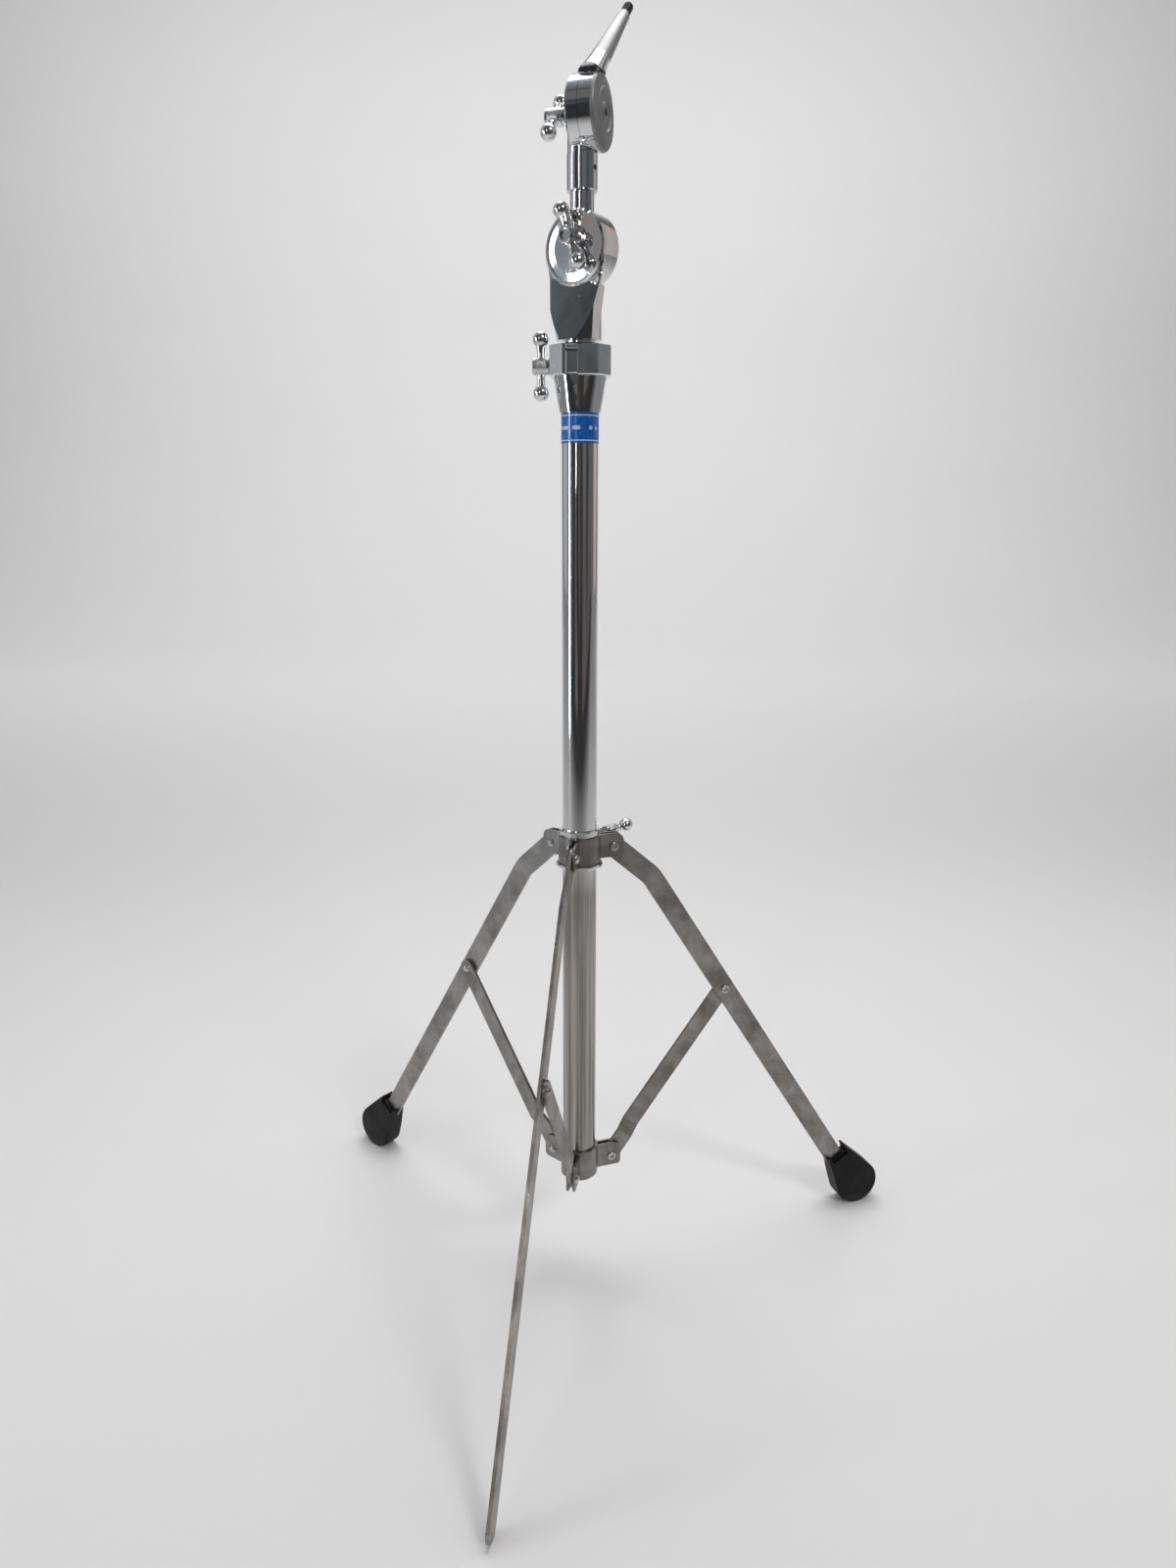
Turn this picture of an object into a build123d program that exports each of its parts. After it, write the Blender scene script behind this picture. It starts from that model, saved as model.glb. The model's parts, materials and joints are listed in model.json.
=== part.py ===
"""Cymbal boom stand: folding flat-bar tripod, telescoping post, boom tilter, cymbal tilter and tapered stem.

Millimetres and degrees. Z is up, the floor is z = 0 and the upright tube's axis is x = y = 0.
Azimuths turn anticlockwise from +X, seen from above. The stand is drawn open, with the post fully down.
"""

from build123d import *
import math
import os

os.makedirs("parts", exist_ok=True)

ON_BASE = (Align.CENTER, Align.CENTER, Align.MIN)
RUNNING = 0.05  # radial clearance of every turning or sliding fit
FACE_GAP = 0.3  # gap between faces of pieces that move past each other

# Tripod linkage, in the radial plane of one leg
LEG_AZIMUTHS = {"front": 258.4, "right": 18.4, "left": 138.4}
PIVOT_R = 31.0
UPPER_PIVOT_Z = 414.5
LOWER_PIVOT_Z = 106.5
MID_PIVOT_R = 146.0
MID_PIVOT_Z = (UPPER_PIVOT_Z + LOWER_PIVOT_Z) / 2
LINK_LENGTH = math.hypot(MID_PIVOT_R - PIVOT_R, UPPER_PIVOT_Z - MID_PIVOT_Z)
ELBOW_R = 68.4
ELBOW_Z = 382.0
ELBOW_RADIUS = 34.0
LEG_LEAN = math.degrees(math.atan2(MID_PIVOT_R - ELBOW_R, ELBOW_Z - MID_PIVOT_Z))
LEG_WIDTH = 19.0
BRACE_WIDTH = 16.5
BAR_THICKNESS = 3.0
BRACE_SIDE = 1.9  # the brace's near face at the leg, on the anticlockwise side
JOGGLE_NEAR = 24.0
JOGGLE_FAR = 36.0

# Ears and rivets
EAR_INNER = 1.9
SHEET = 2.0
EAR_OUTER = EAR_INNER + SHEET
EAR_REACH = 40.0
EAR_CORNER = 7.0
RIVET_R = 3.0
RIVET_HEAD_R = 4.3
RIVET_HEAD_HEIGHT = 2.8
RIVET_RING_R = 4.1
RIVET_RING_HOLE_R = 2.0
RIVET_RING_HEIGHT = 1.6
JUNCTION_FILLET = 3.0

# Rubber feet
FOOT_ROUND_R = 23.0
FOOT_FLAT_SINK = 0.6
FOOT_OUTSET = 5.0  # the round end sits this far outside the bar's line
FOOT_TOP_WIDTH = 23.0
FOOT_TOP_THICKNESS = 13.0
FOOT_THICKNESS = 20.0
FOOT_RISE = 44.0
FOOT_BAR_DEPTH = 34.0
FOOT_FILLET = 2.0
MOUTH_NOTCH = 5.0
MOUTH_STEP = 3.0
MOUTH_STEP_THICKNESS = 9.6

# Upright tube and its fittings
BASE_R = 15.0
BASE_BORE_R = 13.5
BASE_BOTTOM_Z = 96.0
BASE_TOP_Z = 802.0
BRACKET_BOTTOM_Z = 95.6
BRACKET_TOP_Z = 123.5
BRACKET_OUT_R = BASE_R + 2.1
MID_BRACKET_Z = (BRACKET_BOTTOM_Z + BRACKET_TOP_Z) / 2
BRACKET_EAR_BOTTOM_Z = 97.0
BRACKET_EAR_TOP_Z = 120.0
BRACKET_SCREW_R = 2.5
BRACKET_SCREW_HEAD = 2.2
SCREW_SLOT = 1.2
LABEL_BOTTOM_Z = 754.2
LABEL_THICKNESS = 0.2
PLUG_FLANGE = 2.4
PLUG_DEPTH = 12.0

# Sliding leg collar
SLEEVE_BOTTOM_Z = 399.5
SLEEVE_TOP_Z = 433.5
SLEEVE_OUT_R = 16.3
LOWER_FLANGE_R = 20.5
LOWER_FLANGE_TOP_Z = 402.6
UPPER_FLANGE_R = 17.6
UPPER_FLANGE_BOTTOM_Z = 428.6
BAND_BOTTOM_Z = 403.0
BAND_TOP_Z = 427.3
BAND_OUT_R = 18.4
COLLAR_EAR_BOTTOM_Z = 404.7
COLLAR_EAR_TOP_Z = 426.3
PAD_THICKNESS = 2.0
PAD_GAP = 0.2
LEG_BOLT_AZIMUTH = 53.0
LEG_BOLT_Z = 419.0
LEG_BOSS_R = 7.0
LEG_BOSS_REACH = 30.0

# Wing bolts: a barrel with a ball-ended cross bar
BARREL_R = 6.5
BARREL_LENGTH = 13.5
BOLT_R = 4.0 - RUNNING
BOLT_HOLE_R = 4.0
BAR_R = 3.0
BALL_R = 6.25
BALL_SPACING = 40.0
LEG_BOLT_SEAT = 39.2
LEG_BOLT_TIP = 2.5
HEIGHT_BOLT_SEAT = 24.2
HEIGHT_BOLT_TIP = 0.5
BOOM_BOLT_SEAT = 11.0
CYMBAL_BOLT_SEAT = 15.3
LEG_BAR_ANGLE = 151.0
HEIGHT_BAR_ANGLE = 89.0
BOOM_BAR_ANGLE = 112.0
CYMBAL_BAR_ANGLE = -45.0

# Height collar
COLLAR_BOTTOM_Z = 777.7
BLOCK_BOTTOM_Z = 804.5
BLOCK_TOP_Z = 827.5
CONE_TOP_R = 21.3
CONE_BOTTOM_R = 16.4
BLOCK_WIDTH = 48.0
BLOCK_DEPTH = 44.0
BLOCK_CHAMFER = 10.0
BUSH_FLANGE_R = 16.2
BUSH_TOP_Z = 829.0
HEIGHT_BOLT_Z = 812.6
HEIGHT_BOLT_AZIMUTH = 180.0
KEY_LEFT_X = -11.5
KEY_RIGHT_X = -1.5
KEY_DEPTH = 2.5
KEY_PROUD = 0.8
KEY_GAP_Z = 822.5

# Post
POST_R = 12.7
POST_BORE_R = 11.5
POST_BOTTOM_Z = 420.0
POST_TOP_Z = 846.0
GUIDE_FLANGE = 3.0
GUIDE_SPIGOT = 12.0

# Boom tilter, about an axis that points out along its azimuth
BOOM_AZIMUTH = 235.0
BOOM_Z = 898.0
BOOM_R = 27.7
BOOM_FRONT = 9.5
BOOM_SEAM = 5.2
BOOM_BACK = -13.5
SOCKET_BOTTOM = 831.4 - BOOM_Z
SOCKET_HALF_WIDTH = 16.5
SOCKET_R = 17.0
BODY_CONE_BOTTOM_R = 18.2
BODY_CONE_SLOPE = 0.235
SEAT_R = 32.2
PIVOT_SIDE = 2.2  # the wing bolt, which is the tilter's pivot, stands off the cheek's centre
PIVOT_UP = 6.1
RIM_WIDTH = 3.2
FACE_DEPTH = 1.6
CHEEK_BEVEL = 1.6
WEB_FRONT = 6.2
WEB_HEIGHT = -20.0
SHOULDER_DROP = 6.0
BACK_BEVEL = 1.5
ARM_OFFSET = -5.2  # from the tilter's middle to the arm's axis, along the tilter's axis
ARM_SIDE = -1.9  # the same, across
BOSS_R = 12.2
BOSS_TOP = 29.5
BOSS_BOTTOM = -10.0
NUT_R = 7.5
NUT_HEIGHT = 5.0
NUT_POCKET = 3.0
BOLT_END = 1.5
SET_SCREW_R = 2.5
BASE_SCREW_RISE = 12.0
ARM_SCREW_DROP = 8.0
LINER_BORE_R = 6.0
LINER_THICKNESS = 1.2
BOOM_LINER_R = 8.6

# Boom arm and sleeve
ARM_R = 9.5
ARM_BORE_R = 8.0
ARM_BOTTOM_Z = BOOM_Z + 15.0
ARM_TOP_Z = 957.0
COLLET_BOTTOM_Z = 939.0
COLLET_TOP_Z = 965.5
COLLET_R = 12.0
COLLET_SCREW_R = 2.0
COLLET_SCREW_Z = 955.0
COLLET_SCREW_AZIMUTH = -35.0

# Cymbal tilter, about an axis that points out along its azimuth
CYMBAL_AZIMUTH = -19.0
CYMBAL_Z = 992.6
CYMBAL_R = 26.6
CYMBAL_LEFT = -6.0
CYMBAL_SEAM = 4.5
CYMBAL_RIGHT = 14.5
CAP_OUT = 19.0
CAP_FACE_R = 17.0
CAP_STEP_R = 25.2
NECK_R = 11.6
NECK_TOP = -8.0
SWING_GAP = 0.35  # between the neck and the head that turns beside it
CYMBAL_BOSS_R = 6.3
STEM_LEAN = 49.7
STEM_BASE = (0.0, 29.4, 9.5)
STEM_ROOT_DEPTH = 12.0
STEM_ROOT_LENGTH = 16.0
STEM_LENGTH = 96.0
STEM_BASE_R = 8.4
STEM_TOP_R = 4.75
THREAD_R = 4.0
THREAD_LENGTH = 18.0


def export(name, shape):
    """Write one sub-part as parts/NAME.step."""
    export_step(shape, f"parts/{name}.step")


def rod(low, high, radius):
    """A cylinder along Z from low to high."""
    return Pos(0, 0, low) * Cylinder(radius, high - low, align=ON_BASE)


def tube(low, high, outer, inner):
    """A hollow cylinder along Z from low to high."""
    return rod(low, high, outer) - rod(low, high, inner)


def plate(outline, low, high):
    """An outline drawn in the radial plane (x = radius, y = height), as thick as low to high across it."""
    return Pos(0, high, 0) * extrude(Plane.XZ * outline, high - low)


def outward(azimuth, z, x=0.0, y=0.0):
    """A place whose Z points out along the azimuth, whose Y is up and whose X is across."""
    turn = math.radians(azimuth)
    out = (math.cos(turn), math.sin(turn), 0)
    across = (-math.sin(turn), math.cos(turn), 0)
    return Plane(origin=(x, y, z), x_dir=across, z_dir=out)


def turned(points):
    """A solid of revolution about Z from (radius, height) points that start and end on the axis."""
    profile = make_face(Polyline(*points, close=True))
    return revolve(Plane.XZ * profile, Axis.Z)


def upright_rod(low, high, radius):
    """A cylinder along Y from low to high, for the tilters' own axes where Y is up."""
    return Pos(0, low, 0) * Rot(-90, 0, 0) * Cylinder(radius, high - low, align=ON_BASE)


def crosswise(radius, height, reach):
    """A cylinder along Y through (0, 0, height), used to drill pivot holes."""
    return Pos(0, 0, height) * Rot(90, 0, 0) * Cylinder(radius, reach)


# --- tripod ------------------------------------------------------------------------------------------


def line_radius(z):
    """Radius of the straight part of a leg at height z."""
    return ELBOW_R + (ELBOW_Z - z) * math.tan(math.radians(LEG_LEAN))


def foot_centre():
    """Centre of the round end of a rubber foot, in the radial plane."""
    z = FOOT_ROUND_R - FOOT_FLAT_SINK
    return line_radius(z) + FOOT_OUTSET, z


def leg_bar(end_z):
    """A flat bar from the upper pivot round the elbow to a rounded end at height end_z."""
    start = (PIVOT_R, UPPER_PIVOT_Z)
    end = (line_radius(end_z), end_z)
    path = FilletPolyline(start, (ELBOW_R, ELBOW_Z), end, radius=ELBOW_RADIUS)
    outline = trace(path, LEG_WIDTH)
    outline += Pos(*start) * Circle(LEG_WIDTH / 2)
    outline += Pos(*end) * Circle(LEG_WIDTH / 2)
    bar = plate(outline, -BAR_THICKNESS / 2, BAR_THICKNESS / 2)
    bar -= Pos(PIVOT_R, 0, 0) * crosswise(RIVET_R + RUNNING, UPPER_PIVOT_Z, 2 * LEG_WIDTH)
    bar -= Pos(MID_PIVOT_R, 0, 0) * crosswise(RIVET_R, MID_PIVOT_Z, 2 * LEG_WIDTH)
    return bar


def rubber_foot(bar):
    """A teardrop shoe on a leg's end, pocketed for the bar and flat where it stands."""
    round_end = Circle(FOOT_ROUND_R).edges()
    top_end = (Pos(0, FOOT_RISE) * Rectangle(FOOT_TOP_WIDTH, 1, align=(Align.CENTER, Align.MAX))).edges()
    half = FOOT_THICKNESS / 2
    shoe = plate(make_hull(round_end + top_end), -half, half)
    shoe = fillet(shoe.faces().filter_by(Axis.Y).edges(), FOOT_FILLET)
    edge_line = [
        (-half, -2 * FOOT_ROUND_R),
        (half, -2 * FOOT_ROUND_R),
        (half, FOOT_ROUND_R / 4),
        (FOOT_TOP_THICKNESS / 2, FOOT_RISE),
        (-FOOT_TOP_THICKNESS / 2, FOOT_RISE),
        (-half, FOOT_ROUND_R / 4),
    ]
    edge_face = Plane.YZ * make_face(Polyline(*edge_line, close=True))
    shoe &= extrude(edge_face, FOOT_ROUND_R * 2, both=True)
    hanging = (Align.CENTER, Align.CENTER, Align.MAX)
    shoe -= Pos(0, 0, FOOT_RISE) * Box(LEG_WIDTH + 0.4, FOOT_THICKNESS, MOUTH_NOTCH, align=hanging)
    step = Box(LEG_WIDTH - 1, FOOT_THICKNESS, MOUTH_STEP, align=hanging)
    step -= Box(LEG_WIDTH, MOUTH_STEP_THICKNESS, 2 * MOUTH_STEP)
    shoe -= Pos(0, 0, FOOT_RISE - MOUTH_NOTCH) * step
    centre_r, centre_z = foot_centre()
    shoe = Pos(centre_r, 0, centre_z) * Rot(0, -LEG_LEAN, 0) * shoe
    below_floor = Box(4 * FOOT_ROUND_R, 4 * FOOT_ROUND_R, 2 * FOOT_ROUND_R, align=hanging)
    shoe -= Pos(centre_r, 0, 0) * below_floor
    return shoe - bar


def brace_bar():
    """A flat bar beside the leg at the mid pivot, joggled into the leg's plane at its lower end."""
    half = BAR_THICKNESS / 2
    side = BRACE_SIDE + half
    length = LINK_LENGTH
    centre_line = Polyline((0, 0), (JOGGLE_NEAR, 0), (JOGGLE_FAR, side), (length, side))
    flat = trace(centre_line, BAR_THICKNESS)
    flat += Pos(-BRACE_WIDTH / 4, 0) * Rectangle(BRACE_WIDTH / 2, BAR_THICKNESS)
    flat += Pos(length + BRACE_WIDTH / 4, side) * Rectangle(BRACE_WIDTH / 2, BAR_THICKNESS)
    solid = extrude(flat, BRACE_WIDTH / 2, both=True)
    outline = SlotCenterToCenter(length, BRACE_WIDTH)
    limit = Pos(length / 2, side, 0) * extrude(Plane.XZ * outline, BRACE_WIDTH, both=True)
    bar = solid & limit
    lean = math.degrees(math.atan2(MID_PIVOT_R - PIVOT_R, MID_PIVOT_Z - LOWER_PIVOT_Z))
    bar = Pos(PIVOT_R, 0, LOWER_PIVOT_Z) * Rot(0, lean - 90, 0) * bar
    bar -= Pos(PIVOT_R, 0, 0) * crosswise(RIVET_R, LOWER_PIVOT_Z, 2 * BRACE_WIDTH)
    bar -= Pos(MID_PIVOT_R, 0, 0) * crosswise(RIVET_R + RUNNING, MID_PIVOT_Z, 2 * BRACE_WIDTH)
    return bar


def rivet_dome(seat):
    """A dome head whose flat side is at y = seat, towards +Y."""
    sphere_r = (RIVET_HEAD_R**2 + RIVET_HEAD_HEIGHT**2) / (2 * RIVET_HEAD_HEIGHT)
    ball = Pos(0, seat + RIVET_HEAD_HEIGHT - sphere_r, 0) * Sphere(sphere_r)
    size = 4 * sphere_r
    keep = Pos(0, seat, 0) * Box(size, size, size, align=(Align.CENTER, Align.MIN, Align.CENTER))
    return ball & keep


def rivet_ring(seat):
    """A rolled tubular end whose flat side is at y = seat, towards -Y."""
    ring = Cylinder(RIVET_RING_R, RIVET_RING_HEIGHT, align=ON_BASE)
    ring -= Cylinder(RIVET_RING_HOLE_R, RIVET_RING_HEIGHT, align=ON_BASE)
    ring = fillet(ring.faces().sort_by(Axis.Z)[-1].edges(), RIVET_RING_HEIGHT / 3)
    return Pos(0, seat, 0) * Rot(90, 0, 0) * ring


def rivet_shank(low, high):
    """A rivet's plain shank along Y."""
    return Pos(0, high, 0) * Rot(90, 0, 0) * Cylinder(RIVET_R, high - low, align=ON_BASE)


def whole_rivet(ring_seat, dome_seat):
    """A rivet that clamps from ring_seat to dome_seat."""
    return rivet_shank(ring_seat, dome_seat) + rivet_dome(dome_seat) + rivet_ring(ring_seat)


def split_rivet():
    """The two ends of a lower rivet, one in each ear: the brace's eye stands free between them."""
    dome_end = rivet_shank(EAR_INNER, EAR_OUTER) + rivet_dome(EAR_OUTER)
    ring_end = rivet_shank(-EAR_OUTER, -EAR_INNER) + rivet_ring(-EAR_OUTER)
    return [dome_end, ring_end]


def ear_outline(low, high):
    """Side view of an ear, from the tube's axis out: top corner rounded, bottom corner clipped."""
    ear = Pos(0, low) * Rectangle(EAR_REACH, high - low, align=(Align.MIN, Align.MIN))
    outer_top = ear.vertices().group_by(Axis.X)[-1].sort_by(Axis.Y)[-1]
    ear = fillet(outer_top, EAR_CORNER)
    outer_bottom = ear.vertices().group_by(Axis.Y)[0].sort_by(Axis.X)[-1]
    return chamfer(outer_bottom, EAR_CORNER / 3)


def eared_plan(outer):
    """The band's plan: a disc with a pair of ears for each leg, rounded where each ear leaves the disc."""
    ear = Pos(0, EAR_INNER) * Rectangle(EAR_REACH, SHEET, align=(Align.MIN, Align.MIN))
    plan = Circle(outer)
    for azimuth in LEG_AZIMUTHS.values():
        plan += Rot(0, 0, azimuth) * (ear + mirror(ear, Plane.XZ))
    plan = plan.faces()[0]
    corner_angle = math.degrees(math.asin(EAR_OUTER / outer))
    corners = []
    for azimuth in LEG_AZIMUTHS.values():
        for angle in (azimuth - corner_angle, azimuth + corner_angle):
            turn = math.radians(angle)
            point = Vector(outer * math.cos(turn), outer * math.sin(turn), 0)
            corners.append(plan.vertices().sort_by_distance(point)[0])
    return plan.fillet_2d(JUNCTION_FILLET, corners)


def eared_band(heights, radii, ear_heights, pivot_z):
    """A pressed band round the tube with a pair of ears for each leg."""
    low, high = heights
    inner, outer = radii
    ear_low, ear_high = ear_heights
    ears = Pos(0, 0, ear_low) * extrude(eared_plan(outer), ear_high - ear_low)
    reach = plate(ear_outline(ear_low, ear_high), -outer, outer)
    holes = Pos(PIVOT_R, 0, 0) * crosswise(RIVET_R, pivot_z, 4 * EAR_OUTER)
    sides = [Rot(0, 0, azimuth) for azimuth in LEG_AZIMUTHS.values()]
    limit = Part() + [side * reach for side in sides]
    band = rod(low, high, outer) + (ears & limit)
    band -= [side * holes for side in sides]
    return band - rod(low - 1, high + 1, inner)


def leg_collar_parts():
    """The sliding collar: inner flanged sleeve, eared band, threaded boss and brass pad."""
    place = outward(LEG_BOLT_AZIMUTH, LEG_BOLT_Z)
    drill = place * rod(0, LEG_BOSS_REACH + 1, BOLT_HOLE_R)
    sleeve = turned([
        (0, SLEEVE_BOTTOM_Z),
        (LOWER_FLANGE_R - 1, SLEEVE_BOTTOM_Z),
        (LOWER_FLANGE_R, SLEEVE_BOTTOM_Z + 1),
        (LOWER_FLANGE_R, LOWER_FLANGE_TOP_Z - 1),
        (LOWER_FLANGE_R - 1, LOWER_FLANGE_TOP_Z),
        (SLEEVE_OUT_R, LOWER_FLANGE_TOP_Z),
        (SLEEVE_OUT_R, UPPER_FLANGE_BOTTOM_Z),
        (UPPER_FLANGE_R, UPPER_FLANGE_BOTTOM_Z + 0.6),
        (UPPER_FLANGE_R, SLEEVE_TOP_Z - 1.2),
        (UPPER_FLANGE_R - 1.2, SLEEVE_TOP_Z),
        (0, SLEEVE_TOP_Z),
    ])
    sleeve -= rod(SLEEVE_BOTTOM_Z - 1, SLEEVE_TOP_Z + 1, BASE_R + RUNNING)
    band = eared_band(
        (BAND_BOTTOM_Z, BAND_TOP_Z), (SLEEVE_OUT_R, BAND_OUT_R),
        (COLLAR_EAR_BOTTOM_Z, COLLAR_EAR_TOP_Z), UPPER_PIVOT_Z)
    boss = place * rod(SLEEVE_OUT_R, LEG_BOSS_REACH, LEG_BOSS_R)
    boss -= band + rod(BAND_BOTTOM_Z - 5, BAND_TOP_Z + 5, BAND_OUT_R)
    pad = place * rod(BASE_R + PAD_GAP, BASE_R + PAD_GAP + PAD_THICKNESS, BOLT_HOLE_R)
    export("leg_collar_sleeve", sleeve - drill)
    export("leg_collar_band", band - drill)
    export("leg_collar_boss", boss - drill)
    export("leg_collar_pad", pad)


def tripod_parts():
    """Legs, feet, braces, rivets and the lower bracket."""
    leg_ends = {"front": LEG_WIDTH / 2, "right": None, "left": None}
    shod_end_z = foot_centre()[1] - 6.0
    for side, azimuth in LEG_AZIMUTHS.items():
        turn = Rot(0, 0, azimuth)
        bar = leg_bar(leg_ends[side] or shod_end_z)
        export(f"leg_{side}", turn * bar)
        if leg_ends[side] is None:
            export(f"foot_{side}", turn * rubber_foot(bar))
        export(f"brace_{side}", turn * brace_bar())
        mid_rivet = whole_rivet(-BAR_THICKNESS / 2, BRACE_SIDE + BAR_THICKNESS + 0.1)
        export(f"mid_rivet_{side}", turn * Pos(MID_PIVOT_R, 0, MID_PIVOT_Z) * mid_rivet)
    upper = [
        Rot(0, 0, azimuth) * Pos(PIVOT_R, 0, UPPER_PIVOT_Z) * whole_rivet(-EAR_OUTER, EAR_OUTER)
        for azimuth in LEG_AZIMUTHS.values()
    ]
    lower = [
        Rot(0, 0, azimuth) * Pos(PIVOT_R, 0, LOWER_PIVOT_Z) * half
        for azimuth in LEG_AZIMUTHS.values()
        for half in split_rivet()
    ]
    export("upper_rivets", Compound(children=upper))
    export("lower_rivets", Compound(children=lower))
    bracket = eared_band(
        (BRACKET_BOTTOM_Z, BRACKET_TOP_Z), (BASE_R, BRACKET_OUT_R),
        (BRACKET_EAR_BOTTOM_Z, BRACKET_EAR_TOP_Z), LOWER_PIVOT_Z)
    screw_place = outward(LEG_AZIMUTHS["front"] - 180, MID_BRACKET_Z)
    export("lower_bracket", bracket - screw_place * rod(0, 40, BRACKET_SCREW_R))
    screw = rod(BASE_BORE_R - 1.5, BRACKET_OUT_R, BRACKET_SCREW_R)
    head_top = BRACKET_OUT_R + BRACKET_SCREW_HEAD
    screw += rod(BRACKET_OUT_R, head_top, 2 * BRACKET_SCREW_R)
    screw -= Pos(0, 0, head_top) * Box(SCREW_SLOT, 3 * BRACKET_SCREW_R, 2 * SCREW_SLOT)
    export("bracket_screw", screw_place * screw)
    return screw_place


# --- upright -----------------------------------------------------------------------------------------


def upright_parts(screw_place):
    """Base tube, its label band and plug, the height collar with its bush, key and pad."""
    drill = screw_place * rod(0, 40, BRACKET_SCREW_R)
    export("base_tube", tube(BASE_BOTTOM_Z, BASE_TOP_Z, BASE_R, BASE_BORE_R) - drill)
    export("label_band", tube(LABEL_BOTTOM_Z, COLLAR_BOTTOM_Z - 0.2, BASE_R + LABEL_THICKNESS, BASE_R))
    plug = rod(BASE_BOTTOM_Z - PLUG_FLANGE, BASE_BOTTOM_Z, BASE_R)
    plug += rod(BASE_BOTTOM_Z, BASE_BOTTOM_Z + PLUG_DEPTH, BASE_BORE_R)
    plug -= rod(BASE_BOTTOM_Z + 1, BASE_BOTTOM_Z + PLUG_DEPTH, BASE_BORE_R - 3.0)
    export("tube_plug", plug - drill)

    bolt_place = outward(HEIGHT_BOLT_AZIMUTH, HEIGHT_BOLT_Z)
    bolt_drill = bolt_place * rod(0, BLOCK_WIDTH, BOLT_HOLE_R)
    block_plan = chamfer(Rectangle(BLOCK_WIDTH, BLOCK_DEPTH).vertices(), BLOCK_CHAMFER)
    block = Pos(0, 0, BLOCK_BOTTOM_Z) * extrude(block_plan, BLOCK_TOP_Z - BLOCK_BOTTOM_Z)
    block = chamfer(block.edges().filter_by(Axis.Z, reverse=True), 0.8)
    collar = block + Pos(0, 0, COLLAR_BOTTOM_Z) * Cone(
        CONE_BOTTOM_R, CONE_TOP_R, BLOCK_BOTTOM_Z - COLLAR_BOTTOM_Z, align=ON_BASE)
    collar -= rod(COLLAR_BOTTOM_Z - 1, BLOCK_TOP_Z + 1, BASE_R)
    front_y = -BLOCK_DEPTH / 2
    notch = Box(KEY_RIGHT_X - KEY_LEFT_X, 2 * KEY_DEPTH, 60)
    collar -= Pos((KEY_LEFT_X + KEY_RIGHT_X) / 2, front_y, BLOCK_TOP_Z) * notch
    export("height_collar", collar - bolt_drill)

    key_pieces = []
    for low, high in ((BLOCK_BOTTOM_Z + 0.8, KEY_GAP_Z - 0.5), (KEY_GAP_Z + 0.5, BLOCK_TOP_Z - 0.8)):
        piece = Box(KEY_RIGHT_X - KEY_LEFT_X - 0.4, KEY_DEPTH + KEY_PROUD, high - low, align=(
            Align.CENTER, Align.MAX, Align.MIN))
        piece = chamfer(piece.faces().sort_by(Axis.Y)[0].edges(), 0.7)
        key_pieces.append(Pos((KEY_LEFT_X + KEY_RIGHT_X) / 2, front_y + KEY_DEPTH, low) * piece)
    export("collar_key", Compound(children=key_pieces))

    bush = rod(BASE_TOP_Z, BLOCK_TOP_Z, BASE_R) + rod(BLOCK_TOP_Z, BUSH_TOP_Z, BUSH_FLANGE_R)
    bush -= rod(BASE_TOP_Z - 1, BUSH_TOP_Z + 1, POST_R + RUNNING)
    export("collar_bush", bush - bolt_drill)
    export("collar_pad", bolt_place * rod(POST_R + PAD_GAP, POST_R + PAD_GAP + PAD_THICKNESS, BOLT_HOLE_R))


def post_parts():
    """The telescoping post and the nylon guide at its foot."""
    export("post_tube", tube(POST_BOTTOM_Z, POST_TOP_Z, POST_R, POST_BORE_R))
    guide_top = POST_BOTTOM_Z - FACE_GAP
    guide = rod(guide_top - GUIDE_FLANGE, guide_top, BASE_BORE_R - RUNNING)
    guide += rod(guide_top, POST_BOTTOM_Z + GUIDE_SPIGOT, POST_BORE_R - RUNNING)
    export("post_guide", guide)


# --- wing bolts --------------------------------------------------------------------------------------


def wing_bolt(name, place, seat, tip, angle, hub=0.0):
    """A wing bolt: shank from tip to seat, a hub under the barrel and a cross bar in the barrel's middle."""
    barrel = rod(seat, seat + BARREL_LENGTH, BARREL_R)
    barrel = chamfer(barrel.edges().filter_by(GeomType.CIRCLE), 0.8)
    bolt = barrel + rod(tip, seat, BOLT_R)
    if hub:
        bolt += Pos(0, 0, seat - hub) * Cone(BARREL_R + 3.0, BARREL_R - 0.5, hub, align=ON_BASE)
    bolt -= rod(seat + BARREL_LENGTH - 2.0, seat + BARREL_LENGTH, BARREL_R - 2.4)
    bar_place = Pos(0, 0, seat + BARREL_LENGTH / 2) * Rot(0, 0, angle) * Rot(0, 90, 0)
    half = BALL_SPACING / 2
    neck = BALL_R + 4.0
    bolt -= bar_place * rod(-BARREL_R - 1, BARREL_R + 1, BAR_R)
    bar = turned([
        (0, -half),
        (BAR_R + 1.4, -half),
        (BAR_R, -half + neck),
        (BAR_R, half - neck),
        (BAR_R + 1.4, half),
        (0, half),
    ])
    for end in (-half, half):
        bar += Pos(0, 0, end) * Sphere(BALL_R)
    export(f"{name}_bolt", place * bolt)
    export(f"{name}_bolt_bar", place * (bar_place * bar))


# --- boom tilter -------------------------------------------------------------------------------------


def boom_pivot():
    """The wing bolt's axis, in the boom tilter's own axes."""
    return Pos(PIVOT_SIDE, PIVOT_UP, 0)


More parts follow.
